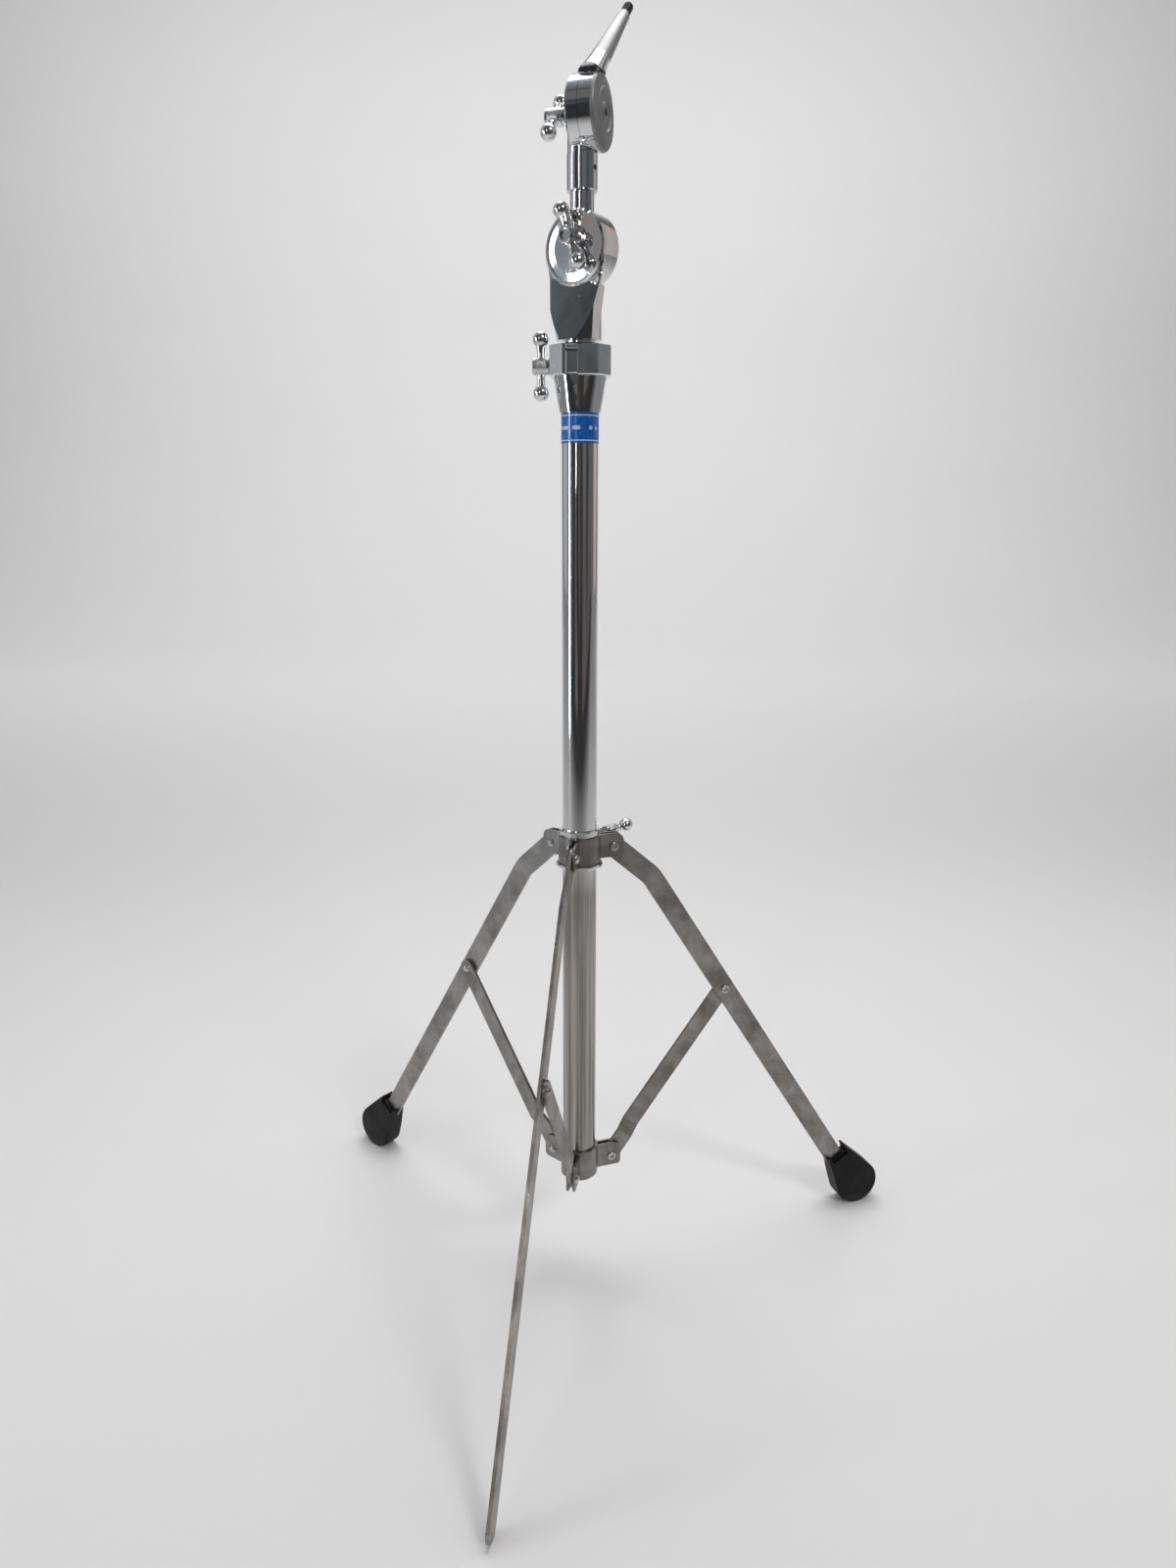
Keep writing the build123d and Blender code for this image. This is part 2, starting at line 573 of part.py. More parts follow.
def boom_base():
    """The casting on the post: a round front cheek over a body that narrows into the post's socket."""
    neck_line = Pos(0, SOCKET_BOTTOM) * Rectangle(2 * SOCKET_HALF_WIDTH, 1, align=(Align.CENTER, Align.MIN))
    outline = make_hull(Circle(BOOM_R).edges() + neck_line.edges())
    cheek_back = BOOM_SEAM + FACE_GAP / 2
    side_line = [
        (SOCKET_R, SOCKET_BOTTOM),
        (WEB_FRONT, WEB_HEIGHT),
        (WEB_FRONT, BOOM_R),
        (cheek_back, BOOM_R),
        (cheek_back, -BOOM_R),
        (-SOCKET_R, -BOOM_R - SHOULDER_DROP),
        (-SOCKET_R, SOCKET_BOTTOM),
    ]
    side_points = [(0, height, depth) for depth, height in side_line]
    side_face = make_face(Polyline(*side_points, close=True))
    body = extrude(outline, 2 * BOOM_R, both=True)
    body &= extrude(side_face, 2 * BOOM_R, both=True, dir=(1, 0, 0))
    cone_height = BOOM_R - SOCKET_BOTTOM
    cone_top_r = BODY_CONE_BOTTOM_R + BODY_CONE_SLOPE * cone_height
    round_body = Cone(BODY_CONE_BOTTOM_R, cone_top_r, cone_height, align=ON_BASE)
    body &= Pos(0, SOCKET_BOTTOM, 0) * Rot(-90, 0, 0) * round_body
    behind = Box(4 * BOOM_R, 4 * BOOM_R, 2 * BOOM_R, align=(Align.CENTER, Align.CENTER, Align.MAX))
    body -= Pos(0, SOCKET_BOTTOM, 0) * behind - upright_rod(SOCKET_BOTTOM, BOOM_R, SOCKET_R)
    body -= rod(-2 * BOOM_R, cheek_back, SEAT_R)
    cheek = rod(cheek_back, BOOM_FRONT, BOOM_R)
    body += chamfer(cheek.edges().sort_by(Axis.Z)[-1], CHEEK_BEVEL)
    body -= rod(BOOM_FRONT - FACE_DEPTH, BOOM_FRONT + 1, BOOM_R - RIM_WIDTH)
    body -= boom_pivot() * rod(-BOOM_R, BOOM_R, BOLT_HOLE_R)
    return body - upright_rod(SOCKET_BOTTOM - 1, POST_TOP_Z - BOOM_Z, POST_R)


def set_screw(low, high):
    """A slotted set screw from high in to low, with its slot at the low end."""
    return rod(low, high, SET_SCREW_R) - Pos(0, 0, low) * Box(SCREW_SLOT, 2 * SET_SCREW_R, 2 * SCREW_SLOT)


def boom_head(seam, back):
    """The half that carries the arm: a round cheek with the arm's upright boss behind it."""
    head = turned([
        (0, seam),
        (BOOM_R, seam),
        (BOOM_R, BOOM_BACK + BACK_BEVEL),
        (BOOM_R - BACK_BEVEL, BOOM_BACK),
        (0, BOOM_BACK),
    ])
    boss_axis = Pos(ARM_SIDE, 0, ARM_OFFSET)
    boss = boss_axis * (upright_rod(BOSS_BOTTOM, BOSS_TOP, BOSS_R) + Pos(0, BOSS_BOTTOM, 0) * Sphere(BOSS_R))
    head += boss - rod(seam, 2 * BOSS_R, 2 * BOSS_TOP)
    head -= boss_axis * upright_rod(ARM_BOTTOM_Z - BOOM_Z, 2 * BOSS_TOP, ARM_R)
    head -= boom_pivot() * rod(-BOOM_R, BOOM_R, BOLT_HOLE_R)
    head -= boom_pivot() * Pos(0, 0, back - NUT_POCKET) * extrude(RegularPolygon(NUT_R, 6), NUT_HEIGHT + NUT_POCKET)
    return head - Pos(ARM_SIDE, BOSS_TOP - ARM_SCREW_DROP, 0) * rod(back - 1, ARM_OFFSET - ARM_R, SET_SCREW_R)


def clamp_nut():
    """The hexagon nut on a tilter's wing bolt."""
    return extrude(RegularPolygon(NUT_R - 0.1, 6), NUT_HEIGHT) - rod(-1, NUT_HEIGHT + 1, BOLT_HOLE_R)


def boom_parts():
    """Both halves of the boom tilter with face disc, nut, liner and set screws."""
    place = outward(BOOM_AZIMUTH, BOOM_Z)
    screw_axis = Pos(0, SOCKET_BOTTOM + BASE_SCREW_RISE, 0)
    export("boom_tilter_base", place * (boom_base() - screw_axis * rod(-2 * SOCKET_R, -POST_R, SET_SCREW_R)))
    export("boom_base_screw", place * screw_axis * set_screw(-SOCKET_R + 0.5, -POST_R))
    face_r = BOOM_R - RIM_WIDTH - 0.1
    face = turned([
        (0, BOOM_FRONT - FACE_DEPTH),
        (face_r, BOOM_FRONT - FACE_DEPTH),
        (face_r, BOOM_FRONT - 1.0),
        (face_r - 6, BOOM_FRONT - 0.5),
        (0, BOOM_FRONT - 0.2),
    ])
    pivot = boom_pivot()
    export("boom_face_disc", place * (face - pivot * rod(0, BOOM_FRONT, BOLT_HOLE_R)))

    seam = BOOM_SEAM - FACE_GAP / 2
    back = ARM_OFFSET - BOSS_R
    liner = pivot * tube(seam - LINER_THICKNESS, seam, BOOM_LINER_R, LINER_BORE_R)
    export("boom_tilter_head", place * (boom_head(seam, back) - liner))
    export("boom_liner", place * liner)
    export("boom_nut", place * pivot * Pos(0, 0, back) * clamp_nut())
    arm_screw = set_screw(back + 0.5, ARM_OFFSET - ARM_R)
    export("arm_screw", place * Pos(ARM_SIDE, BOSS_TOP - ARM_SCREW_DROP, 0) * arm_screw)
    hub = BOOM_BOLT_SEAT - BOOM_FRONT - 0.1
    wing_bolt("boom", place * pivot, BOOM_BOLT_SEAT, back - BOLT_END, BOOM_BAR_ANGLE, hub)


def arm_axis():
    """Where the boom arm's axis stands, in plan."""
    turn = math.radians(BOOM_AZIMUTH)
    x = ARM_OFFSET * math.cos(turn) - ARM_SIDE * math.sin(turn)
    y = ARM_OFFSET * math.sin(turn) + ARM_SIDE * math.cos(turn)
    return x, y


def arm_parts():
    """The boom arm and the sleeve that carries the cymbal tilter."""
    x, y = arm_axis()
    shift = Pos(x, y, 0)
    export("arm_tube", shift * tube(ARM_BOTTOM_Z, ARM_TOP_Z, ARM_R, ARM_BORE_R))
    sleeve = turned([
        (0, COLLET_BOTTOM_Z),
        (COLLET_R - 0.8, COLLET_BOTTOM_Z),
        (COLLET_R, COLLET_BOTTOM_Z + 0.8),
        (COLLET_R, COLLET_TOP_Z - 0.8),
        (COLLET_R - 0.8, COLLET_TOP_Z),
        (0, COLLET_TOP_Z),
    ])
    sleeve -= rod(COLLET_BOTTOM_Z - 1, COLLET_TOP_Z + 1, ARM_R)
    place = outward(COLLET_SCREW_AZIMUTH, COLLET_SCREW_Z)
    screw_top = COLLET_R - 0.4
    hexagon = extrude(RegularPolygon(COLLET_SCREW_R - 0.8, 6), 1.0, both=True)
    screw = rod(ARM_R, screw_top, COLLET_SCREW_R) - Pos(0, 0, screw_top) * hexagon
    export("arm_sleeve", shift * (sleeve - place * rod(0, 2 * COLLET_R, COLLET_SCREW_R)))
    export("sleeve_screw", shift * (place * screw))


# --- cymbal tilter -----------------------------------------------------------------------------------


def stem_place():
    """A place whose Z runs up the stem from its root, in the cymbal tilter's own axes."""
    return Pos(*STEM_BASE) * Rot(-90, 0, 0) * Rot(0, STEM_LEAN, 0)


def stem_radius(height):
    """The tapered stem's radius at a height above its root."""
    return STEM_BASE_R + (STEM_TOP_R - STEM_BASE_R) * height / STEM_LENGTH


def cymbal_parts():
    """Both halves of the cymbal tilter, its cap, liner, nut and the tapered stem with its threaded end."""
    x, y = arm_axis()
    place = outward(CYMBAL_AZIMUTH, CYMBAL_Z, x, y)
    seam_low = CYMBAL_SEAM - FACE_GAP / 2
    seam_high = CYMBAL_SEAM + FACE_GAP / 2
    neck_bottom = COLLET_TOP_Z - CYMBAL_Z
    spigot_bottom = ARM_TOP_Z + 0.5 - CYMBAL_Z

    swing_r = CYMBAL_R + SWING_GAP
    base = turned([
        (0, seam_low),
        (CYMBAL_R, seam_low),
        (CYMBAL_R, CYMBAL_LEFT + 2),
        (CYMBAL_R - 2, CYMBAL_LEFT),
        (0, CYMBAL_LEFT),
    ])
    neck = upright_rod(neck_bottom, NECK_TOP, NECK_R) + Pos(0, NECK_TOP, 0) * Sphere(NECK_R)
    base += neck - rod(seam_low, 2 * CYMBAL_R, swing_r)
    base += upright_rod(spigot_bottom, neck_bottom, ARM_R)
    base += rod(-CYMBAL_BOLT_SEAT + 0.4, CYMBAL_LEFT + 1, CYMBAL_BOSS_R)
    base -= rod(-CYMBAL_BOLT_SEAT - 1, seam_low + 1, BOLT_HOLE_R)
    liner = tube(seam_low - LINER_THICKNESS, seam_low, CYMBAL_R - 4.0, LINER_BORE_R)
    export("cymbal_tilter_base", place * (base - liner))
    export("cymbal_liner", place * liner)

    head = rod(seam_high, CYMBAL_RIGHT, CYMBAL_R)
    root_length = STEM_ROOT_DEPTH + STEM_ROOT_LENGTH
    root = Cone(STEM_BASE_R + 1.6, stem_radius(STEM_ROOT_LENGTH), root_length, align=ON_BASE)
    root = stem_place() * Pos(0, 0, -STEM_ROOT_DEPTH) * root
    head += root - rod(-2 * CYMBAL_R, seam_high, swing_r) - rod(CYMBAL_RIGHT, 2 * CYMBAL_R, CYMBAL_R)
    head -= rod(0, CYMBAL_RIGHT + 1, BOLT_HOLE_R)
    head -= Pos(0, 0, CYMBAL_RIGHT - NUT_HEIGHT) * extrude(RegularPolygon(NUT_R, 6), NUT_HEIGHT + 1)
    export("cymbal_tilter_head", place * head)
    export("cymbal_nut", place * Pos(0, 0, CYMBAL_RIGHT - NUT_HEIGHT) * clamp_nut())

    cap = turned([
        (0, CYMBAL_RIGHT),
        (CYMBAL_R, CYMBAL_RIGHT),
        (CYMBAL_R - 0.4, CYMBAL_RIGHT + 1.6),
        (CAP_STEP_R, CYMBAL_RIGHT + 2.6),
        (CAP_FACE_R, CAP_OUT - 0.6),
        (CAP_FACE_R - 0.8, CAP_OUT),
        (CAP_FACE_R - 4.0, CAP_OUT),
        (CAP_FACE_R - 5.0, CAP_OUT - 1.0),
        (7.0, CAP_OUT - 1.0),
        (6.0, CAP_OUT - 0.2),
        (0, CAP_OUT - 0.2),
    ])
    cap -= rod(CAP_OUT - 3, CAP_OUT + 1, 3.0)
    export("cymbal_cap", place * cap)

    stem = Pos(0, 0, STEM_ROOT_LENGTH) * Cone(
        stem_radius(STEM_ROOT_LENGTH), STEM_TOP_R, STEM_LENGTH - STEM_ROOT_LENGTH, align=ON_BASE)
    thread = rod(STEM_LENGTH, STEM_LENGTH + THREAD_LENGTH, THREAD_R)
    thread = chamfer(thread.edges().sort_by(Axis.Z)[-1], 0.8)
    export("cymbal_stem", place * (stem_place() * stem))
    export("stem_thread", place * (stem_place() * thread))
    bolt_place = outward(CYMBAL_AZIMUTH + 180, CYMBAL_Z, x, y)
    wing_bolt("cymbal", bolt_place, CYMBAL_BOLT_SEAT, -CYMBAL_RIGHT + 0.5, CYMBAL_BAR_ANGLE)


leg_collar_parts()
upright_parts(tripod_parts())
post_parts()
boom_parts()
arm_parts()
cymbal_parts()
leg_bolt_place = outward(LEG_BOLT_AZIMUTH, LEG_BOLT_Z)
height_bolt_place = outward(HEIGHT_BOLT_AZIMUTH, HEIGHT_BOLT_Z)
wing_bolt("leg", leg_bolt_place, LEG_BOLT_SEAT, BASE_R + LEG_BOLT_TIP, LEG_BAR_ANGLE)
wing_bolt("height", height_bolt_place, HEIGHT_BOLT_SEAT, BASE_R + HEIGHT_BOLT_TIP, HEIGHT_BAR_ANGLE)
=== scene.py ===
"""Look of the cymbal boom stand.

Finishes for the CAD nodes, knurled barrels, the stem's thread, and the floor, room, lights and camera.
"""

import json
import math

import bpy
from mathutils import Matrix, Vector


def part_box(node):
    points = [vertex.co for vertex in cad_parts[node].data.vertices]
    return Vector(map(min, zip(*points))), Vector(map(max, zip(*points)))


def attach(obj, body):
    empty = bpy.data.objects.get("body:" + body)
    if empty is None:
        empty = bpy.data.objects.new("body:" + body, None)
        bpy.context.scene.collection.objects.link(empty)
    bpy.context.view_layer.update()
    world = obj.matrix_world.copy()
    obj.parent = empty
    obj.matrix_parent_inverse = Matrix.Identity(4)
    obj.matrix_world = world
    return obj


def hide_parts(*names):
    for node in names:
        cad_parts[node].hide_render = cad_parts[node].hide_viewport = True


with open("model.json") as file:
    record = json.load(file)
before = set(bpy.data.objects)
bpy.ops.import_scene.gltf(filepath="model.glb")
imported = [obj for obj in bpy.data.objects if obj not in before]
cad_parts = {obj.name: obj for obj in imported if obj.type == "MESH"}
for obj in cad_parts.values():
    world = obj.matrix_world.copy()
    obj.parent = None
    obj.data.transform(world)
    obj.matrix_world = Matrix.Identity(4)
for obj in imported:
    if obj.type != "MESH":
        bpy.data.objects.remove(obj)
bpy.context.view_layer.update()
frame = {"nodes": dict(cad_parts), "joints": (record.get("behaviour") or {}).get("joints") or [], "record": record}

MM = 0.001

# Camera, seen from the front
CAMERA_PLACE = (0.0, -0.9138, 0.6995)
CAMERA_TILT = 76.06
CAMERA_TURN = -0.455
CAMERA_ROLL = 0.175
CAMERA_LENS = 24.95
CAMERA_SENSOR = 36.0

# Detail sizes
BARREL_R = 6.5 * MM
BARREL_LENGTH = 13.5 * MM
BARREL_CHAMFER = 0.9 * MM
BARREL_SEATS = {"leg": 39.2 * MM, "height": 24.2 * MM, "boom": 11.0 * MM, "cymbal": 15.3 * MM}
KNURL_ROWS = 48
KNURL_PITCHES = 26
KNURL_CUTS = 6
KNURL_SLANT = 5.0
KNURL_DEPTH = 0.34 * MM
KNURL_SINK = 0.25
KNURL_FADE = 6.0
THREAD_PITCH = 1.25 * MM
THREAD_DEPTH = 0.62 * MM
THREAD_STEPS = 48
THREAD_ROWS_PER_PITCH = 12
THREAD_TIP_R = 0.0001 * MM
# Fade of the upright's dark brownish low-down tint: partly wear, partly painted shade
WEAR_AND_SHADE_FADE_BELOW = 25 * MM
WEAR_AND_SHADE_FADE_ABOVE = 10 * MM
SCUFF_HEIGHT = 12 * MM

# Printed film: two thin border lines and one wide row of bars, by half width
BORDER_INSET = 2.2 * MM
BORDER_HALF = 0.35 * MM
BAR_ROW_HALF = 1.3 * MM
PRINT_EDGE = 0.15 * MM

# Floor, in metres: flat from front to back, then a bend up into the backdrop
FLOOR_HALF_WIDTH = 9.0
FLOOR_FRONT = -2.8
FLOOR_BACK = 4.5
FLOOR_BEND = 2.0
FLOOR_TOP = 7.0
FLOOR_BEND_STEPS = 24
FLOOR_DARK_Y = -2.0
FLOOR_PALE_Y = -0.8

# Room: the direction of its one window, and the tints that its walls vary between
WINDOW_DIRECTION = (-0.92, -0.33, 0.21)
WARM_WALL = (1.0, 0.86, 0.80, 1.0)
COOL_WALL = (0.82, 0.91, 1.0, 1.0)

# Area lights: name, place, target, size, power, colour, spread in degrees
MIDDLE = (0.0, 0.0, 0.62)
WHITE = (1.0, 1.0, 1.0)
COOL = (0.80, 0.91, 1.0)
LIGHTS = (
    ("backdrop light", (0.0, 2.4, 4.2), (0.0, 6.0, 1.6), (8.0, 1.6), 140.0, WHITE, 140),
    ("top light", (0.2, 0.9, 3.1), (0.0, 0.5, 0.0), (2.4, 1.6), 22.0, WHITE, 120),
    ("left strip", (-2.35, -0.95, 0.62), MIDDLE, (0.26, 1.2), 2.4, COOL, 70),
    ("upper left strip", (-2.5, -0.35, 1.45), (0.0, 0.0, 1.0), (0.2, 0.7), 0.7, COOL, 70),
    ("near strip", (-1.15, -2.5, 1.5), MIDDLE, (0.10, 1.5), 0.9, (1.0, 0.93, 0.88), 70),
    ("soft fill", (1.9, -2.7, 3.3), MIDDLE, (1.2, 0.6), 5.0, (1.0, 0.97, 0.94), 60),
)

# CAD nodes by finish
CHROME_NODES = (
    "post_tube boom_face_disc arm_tube arm_sleeve leg_bolt leg_bolt_bar height_bolt height_bolt_bar "
    "boom_bolt boom_bolt_bar cymbal_bolt cymbal_bolt_bar collar_key leg_collar_sleeve"
).split()
CAST_NODES = "height_collar boom_tilter_base boom_tilter_head cymbal_tilter_base cymbal_tilter_head".split()
SATIN_NODES = "cymbal_stem cymbal_cap".split()
BRACKET_NODES = "lower_bracket leg_collar_band leg_collar_boss".split()
LEG_NODES = "leg_front leg_right leg_left brace_front brace_right brace_left".split()
RIVET_NODES = "lower_rivets upper_rivets mid_rivet_front mid_rivet_right mid_rivet_left".split()
SCREW_NODES = "bracket_screw boom_base_screw arm_screw sleeve_screw boom_nut cymbal_nut".split()
FOOT_NODES = "foot_right foot_left".split()
NYLON_NODES = "collar_bush post_guide tube_plug boom_liner cymbal_liner".split()
BRASS_NODES = "collar_pad leg_collar_pad".split()


# --- materials ----------------------------------------------------------------


class Graph:
    """A small helper that adds procedural nodes to a node tree, over one kind of coordinates."""

    def __init__(self, tree, coordinates):
        self.tree = tree
        self.place = self.node("ShaderNodeTexCoord").outputs[coordinates]

    def node(self, kind, **settings):
        made = self.tree.nodes.new(kind)
        for key, value in settings.items():
            setattr(made, key, value)
        return made

    def link(self, source, target):
        self.tree.links.new(source, target)

    def feed(self, socket, value):
        if isinstance(value, bpy.types.NodeSocket):
            self.link(value, socket)
        else:
            socket.default_value = value

    def axes(self):
        """The three coordinates, one by one."""
        split = self.node("ShaderNodeSeparateXYZ")
        self.link(self.place, split.inputs[0])
        return split.outputs["X"], split.outputs["Y"], split.outputs["Z"]

    def facing(self, direction):
        """How far the coordinates, taken as a direction, point along a given one."""
        made = self.node("ShaderNodeVectorMath", operation="DOT_PRODUCT")
        self.link(self.place, made.inputs[0])
        made.inputs[1].default_value = direction
        return made.outputs["Value"]

    def stretched(self, scale):
        """The coordinates multiplied by a number for each axis."""
        mapping = self.node("ShaderNodeMapping")
        mapping.inputs["Scale"].default_value = scale
        self.link(self.place, mapping.inputs["Vector"])
        return mapping.outputs["Vector"]

    def noise(self, scale, detail=4.0, roughness=0.55, distortion=0.0):
        made = self.node("ShaderNodeTexNoise")
        self.link(self.stretched(scale), made.inputs["Vector"])
        made.inputs["Scale"].default_value = 1.0
        made.inputs["Detail"].default_value = detail
        made.inputs["Roughness"].default_value = roughness
        made.inputs["Distortion"].default_value = distortion
        return made.outputs["Fac"]

    def spots(self, scale, size):
        """One inside small round spots, zero outside."""
        made = self.node("ShaderNodeTexVoronoi")
        self.link(self.stretched(scale), made.inputs["Vector"])
        made.inputs["Scale"].default_value = 1.0
        return self.remap(made.outputs["Distance"], size * 0.4, size, 1.0, 0.0)

    def remap(self, value, low_in, high_in, low_out, high_out):
        made = self.node("ShaderNodeMapRange")
        made.clamp = True
        self.link(value, made.inputs["Value"])
        for key, number in (
            ("From Min", low_in), ("From Max", high_in), ("To Min", low_out), ("To Max", high_out)):
            made.inputs[key].default_value = number
        return made.outputs["Result"]

    def math(self, operation, a, b):
        made = self.node("ShaderNodeMath", operation=operation)
        self.feed(made.inputs[0], a)
        self.feed(made.inputs[1], b)
        return made.outputs[0]

    def mix(self, factor, a, b):
        """A colour that goes from a to b."""
        made = self.node("ShaderNodeMix", data_type="RGBA")
        self.feed(made.inputs["Factor"], factor)
        self.feed(made.inputs[6], a)
        self.feed(made.inputs[7], b)
        return made.outputs[2]

    def bump(self, height, distance, strength=1.0, under=None):
        made = self.node("ShaderNodeBump")
        made.inputs["Strength"].default_value = strength
        made.inputs["Distance"].default_value = distance
        self.link(height, made.inputs["Height"])
        if under is not None:
            self.link(under, made.inputs["Normal"])
        return made.outputs["Normal"]


class Shader(Graph):
    """One procedural material, built from the object's own coordinates."""

    def __init__(self, name):
        self.material = bpy.data.materials.new(name)
        self.material.use_nodes = True
        super().__init__(self.material.node_tree, "Object")
        self.surface = self.tree.nodes["Principled BSDF"]

    def set(self, **values):
        for name, value in values.items():
            self.feed(self.surface.inputs[name.replace("_", " ")], value)


def grey(level, warm=0.0):
    """A grey as RGBA, slightly warm or cool."""
    return (level * (1 + warm), level, level * (1 - warm), 1.0)


def chrome(name, cast=False, wear_and_shade_below=None, satin=0.0, bright=0.78):
    """Polished plate: hazy patches, fine rub marks along the tube and a few pits; castings also ripple.

    Below a given height it is dull, brownish and streaked where the leg collar slides: partly wear, partly painted
    shade that darkens the colour for the dark surroundings the lower tube mirrors.
    """
    s = Shader(name)
    haze = s.noise((22.0, 22.0, 9.0), detail=5.0)
    rubs = s.noise((1500.0, 1500.0, 45.0), detail=3.0)
    pits = s.spots((160.0, 160.0, 160.0), 0.09)
    tint = s.mix(s.remap(haze, 0.35, 0.7, 0.0, 1.0), grey(bright, -0.015), grey(bright * 0.82, 0.01))
    rough = s.math("ADD", s.remap(haze, 0.4, 0.75, 0.035, 0.11), s.remap(rubs, 0.55, 0.75, 0.0, 0.10))
    if wear_and_shade_below is not None:
        height = s.axes()[2]
        low_down = s.remap(height, wear_and_shade_below - WEAR_AND_SHADE_FADE_BELOW, wear_and_shade_below + WEAR_AND_SHADE_FADE_ABOVE, 1.0, 0.0)
        streaks = s.noise((260.0, 260.0, 4.0), detail=5.0)
        # Painted shade mixed with wear: a dark brownish streaked colour below the given height stands in for
        # darker mirrored surroundings
        wear_and_shade_tint = s.mix(s.remap(streaks, 0.35, 0.65, 0.0, 1.0), grey(0.40, 0.05), grey(0.17, 0.11))
        tint = s.mix(low_down, tint, wear_and_shade_tint)
        rough = s.math("ADD", rough, s.math("MULTIPLY", low_down, s.remap(streaks, 0.3, 0.7, 0.06, 0.16)))
    rough = s.math("ADD", rough, satin)
    s.set(Base_Color=s.mix(pits, tint, grey(0.25, 0.08)), Metallic=1.0)
    s.set(Roughness=s.math("ADD", rough, s.math("MULTIPLY", pits, 0.3)))
    normal = s.bump(rubs, 0.0015 * MM if cast else 0.003 * MM)
    if cast:
        normal = s.bump(s.noise((45.0, 45.0, 45.0), detail=1.0), 0.16 * MM, under=normal)
    s.set(Normal=s.bump(pits, -0.03 * MM, under=normal))
    return s.material


def nickel(name, light, dark, warm):
    """Satin plate on rolled bar: two scales of mottling, rolling lines, stains and small scratches."""
    s = Shader(name)
    cloud = s.noise((38.0, 38.0, 38.0), detail=7.0, roughness=0.62, distortion=0.4)
    grain = s.noise((700.0, 700.0, 120.0), detail=4.0)
    stains = s.remap(s.noise((14.0, 14.0, 14.0), detail=6.0), 0.55, 0.72, 0.0, 1.0)
    marks = s.spots((230.0, 230.0, 120.0), 0.16)
    base = s.mix(s.remap(cloud, 0.32, 0.7, 0.0, 1.0), grey(light, warm), grey(dark, warm * 1.6))
    base = s.mix(s.math("MULTIPLY", stains, 0.5), base, grey(dark * 0.6, warm * 2.5))
    base = s.mix(s.math("MULTIPLY", marks, 0.35), base, grey(light * 1.5, 0.0))
    rough = s.math("ADD", s.remap(cloud, 0.3, 0.7, 0.24, 0.40), s.remap(grain, 0.4, 0.7, 0.0, 0.12))
    s.set(Base_Color=base, Metallic=0.92, Roughness=rough)
    normal = s.bump(grain, 0.012 * MM)
    normal = s.bump(cloud, 0.10 * MM, strength=0.7, under=normal)
    s.set(Normal=s.bump(marks, -0.03 * MM, under=normal))
    return s.material


def rubber(name):
    """Moulded rubber: fine grain, dusty patches and scuffs near the floor."""
    s = Shader(name)
    grain = s.noise((900.0, 900.0, 900.0), detail=3.0)
    dust = s.remap(s.noise((55.0, 55.0, 55.0), detail=6.0), 0.5, 0.75, 0.0, 0.5)
    near_floor = s.remap(s.axes()[2], 0.0, SCUFF_HEIGHT, 0.7, 0.0)
    scuff = s.math("MULTIPLY", near_floor, s.remap(grain, 0.4, 0.65, 0.0, 1.0))
    base = s.mix(dust, grey(0.005, -0.02), grey(0.022, 0.03))
    s.set(Base_Color=s.mix(scuff, base, grey(0.12, 0.06)))
    s.set(Roughness=s.remap(grain, 0.3, 0.7, 0.42, 0.62))
    s.surface.inputs["Specular IOR Level"].default_value = 0.22
    s.set(Normal=s.bump(grain, 0.05 * MM))
    return s.material


def film(name, bottom, top):
    """Printed blue film: light border lines and a plain pale bar pattern, worn at the edges."""
    s = Shader(name)
    z = s.axes()[2]
    wear = s.noise((420.0, 420.0, 420.0), detail=5.0)
    shade = s.mix(s.remap(wear, 0.3, 0.7, 0.0, 1.0), (0.0, 0.10, 0.42, 1.0), (0.002, 0.15, 0.56, 1.0))
    colour = shade
    rows = (
        (bottom + BORDER_INSET, BORDER_HALF),
        (top - BORDER_INSET, BORDER_HALF),
        ((bottom + top) / 2, BAR_ROW_HALF),
    )
    for centre, half in rows:
        distance = s.math("ABSOLUTE", s.math("SUBTRACT", z, centre), 0.0)
        line = s.remap(distance, half, half + PRINT_EDGE, 1.0, 0.0)
        if half == BAR_ROW_HALF:
            bars = s.remap(s.noise((260.0, 260.0, 8.0), detail=0.0), 0.5, 0.54, 0.0, 1.0)
            line = s.math("MULTIPLY", line, bars)
        colour = s.mix(line, colour, (0.62, 0.72, 0.85, 1.0))
    chips = s.spots((300.0, 300.0, 300.0), 0.12)
    s.set(Base_Color=s.mix(chips, colour, grey(0.5)))
    s.set(Roughness=s.remap(wear, 0.3, 0.7, 0.16, 0.34))
    s.surface.inputs["Coat Weight"].default_value = 0.5
    s.set(Normal=s.bump(wear, 0.015 * MM))
    return s.material


def plastic(name, colour_a, colour_b):
    """Moulded nylon with a fine grain."""
    s = Shader(name)
    grain = s.noise((500.0, 500.0, 500.0), detail=4.0)
    s.set(Base_Color=s.mix(grain, colour_a, colour_b), Roughness=s.remap(grain, 0.3, 0.7, 0.35, 0.6))
    s.set(Normal=s.bump(grain, 0.03 * MM))
    return s.material


def turned_metal(name, light, dark):
    """Small turned or headed parts: bright plate with dark grime."""
    s = Shader(name)
    grain = s.noise((420.0, 420.0, 420.0), detail=4.0)
    grime = s.remap(s.noise((150.0, 150.0, 150.0), detail=6.0), 0.5, 0.68, 0.0, 0.8)
    s.set(Base_Color=s.mix(grime, light, dark), Metallic=1.0)
    s.set(Roughness=s.math("ADD", s.remap(grain, 0.3, 0.7, 0.14, 0.34), s.math("MULTIPLY", grime, 0.2)))
    s.set(Normal=s.bump(grain, 0.02 * MM))
    return s.material


def paint(names, material):
    """Give the CAD nodes one material each."""
    for name in names:
        node = frame["nodes"][name]
        node.data.materials.clear()
        node.data.materials.append(material)


